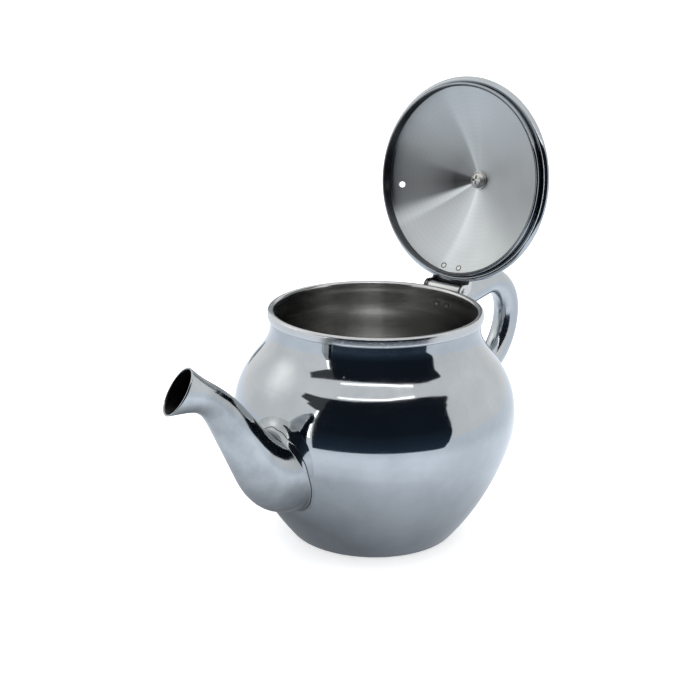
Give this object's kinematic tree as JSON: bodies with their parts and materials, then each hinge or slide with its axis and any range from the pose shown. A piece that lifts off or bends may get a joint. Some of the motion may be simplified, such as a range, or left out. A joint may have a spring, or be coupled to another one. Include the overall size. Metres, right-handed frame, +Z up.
{
  "type": "teapot",
  "caption": "Round-bellied stainless-steel teapot with an S-shaped spout, a tube loop handle and a hinged domed lid with a knob, standing open.",
  "frame": {"origin": "centre of the flat base, on the surface the teapot stands on", "axes": "+Z up, -X the way the spout points, +X towards the handle and the lid hinge, Y along the hinge pin"},
  "size_m": [0.2421, 0.1324, 0.208],
  "materials": {
    "polished_steel": "mirror-polished stainless steel outside, drawn or brushed satin inside",
    "satin_steel": "satin stainless steel sheet",
    "fastener_steel": "bright plated steel"
  },
  "bodies": {
    "pot": {"pot_body": "polished_steel", "spout": "polished_steel", "handle": "polished_steel", "hinge_bracket": "satin_steel"},
    "lid": {"lid_dome": "polished_steel", "lid_skirt": "polished_steel", "lid_strap": "satin_steel", "hinge_pin": "satin_steel", "lid_knob": "polished_steel", "knob_washer": "fastener_steel", "knob_screw": "fastener_steel"}
  },
  "joints": [
    {"name": "lid_hinge", "type": "hinge", "parent": "pot", "child": "lid", "pos_m": [0.0532, 0, 0.1068], "axis": [0, 1, 0], "range_deg": [-98, 0]}
  ]
}
